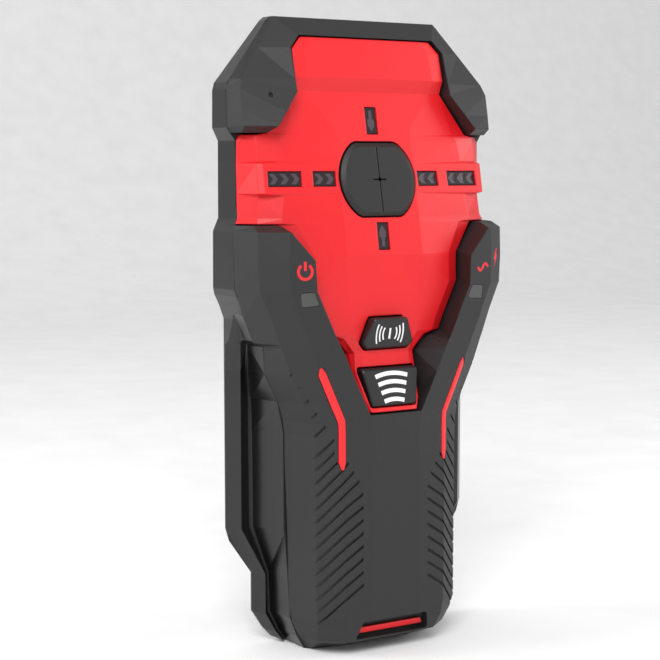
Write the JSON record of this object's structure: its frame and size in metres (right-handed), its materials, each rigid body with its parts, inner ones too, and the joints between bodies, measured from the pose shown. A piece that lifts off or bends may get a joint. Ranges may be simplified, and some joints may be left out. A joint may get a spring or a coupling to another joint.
{
  "type": "stud finder",
  "caption": "Handheld stud finder with a red face plate, a marking port, two keys, side recesses and a sliding battery door",
  "frame": {"origin": "centre of the wall face, the flat back that is held against a wall", "axes": "+Z runs along the body to the head end, -Y is the front with the keys, X runs across"},
  "size_m": [0.0906, 0.0289, 0.1864],
  "materials": {
    "gloss_black": "gloss",
    "soft_black": "fine texture",
    "face_red": "satin",
    "accent_red": "satin",
    "port_rubber": "matte",
    "sleeve_black": "matte",
    "key_black": "satin",
    "window_smoke": "smoked",
    "lens_smoke": "smoked",
    "board_green": "solder mask",
    "copper": "plain copper foil",
    "steel": "plain",
    "chip_black": "matte",
    "led_body": "clear",
    "pad_grey": "felt",
    "battery_case": "satin",
    "wire_red": "satin",
    "wire_black": "satin"
  },
  "bodies": {
    "body": {"battery": "battery_case", "battery_pad": "pad_grey", "battery_snap": "chip_black", "battery_terminal_minus": "steel", "battery_terminal_plus": "steel", "bottom_bar": "accent_red", "buzzer": "chip_black", "controller_chip": "chip_black", "face_plate": "face_red", "far_led_left": "led_body", "far_led_right": "led_body", "far_window_left": "window_smoke", "far_window_right": "window_smoke", "flange_pad_left": "pad_grey", "flange_pad_right": "pad_grey", "front_housing": "soft_black", "head_bumper": "soft_black", "head_pad_left": "pad_grey", "head_pad_right": "pad_grey", "key_board": "board_green", "lead_minus": "wire_black", "lead_plus": "wire_red", "light_baffle_left": "chip_black", "light_baffle_right": "chip_black", "lower_led": "led_body", "lower_window": "window_smoke", "main_board": "board_green", "marking_port": "port_rubber", "marking_sleeve": "sleeve_black", "mode_switch": "steel", "near_led_left": "led_body", "near_led_right": "led_body", "near_window_left": "window_smoke", "near_window_right": "window_smoke", "rear_housing": "gloss_black", "scan_switch": "steel", "screw_left_grip": "steel", "screw_left_head": "steel", "screw_left_wing": "steel", "screw_right_grip": "steel", "screw_right_head": "steel", "screw_right_wing": "steel", "sensor_board": "board_green", "sensor_foil_left": "copper", "sensor_foil_middle": "copper", "sensor_foil_right": "copper", "stripe_left": "accent_red", "stripe_right": "accent_red", "upper_led": "led_body", "upper_window": "window_smoke", "wing_lens_left": "lens_smoke", "wing_lens_right": "lens_smoke"},
    "scan_button": {"scan_key": "key_black", "scan_plunger": "chip_black"},
    "mode_button": {"mode_key": "key_black", "mode_plunger": "chip_black"},
    "door": {"battery_door": "gloss_black"}
  },
  "joints": [
    {"name": "scan_press", "type": "slide", "parent": "body", "child": "scan_button", "axis": [0, 1, 0], "range_m": [0, 0.0008], "stiffness_N_per_m": 1500, "springref_m": -0.0002},
    {"name": "mode_press", "type": "slide", "parent": "body", "child": "mode_button", "axis": [0, 1, 0], "range_m": [0, 0.0008], "stiffness_N_per_m": 1500, "springref_m": -0.0002},
    {"name": "door_slide", "type": "slide", "parent": "body", "child": "door", "axis": [0, 0, -1], "range_m": [0, 0.055]}
  ]
}
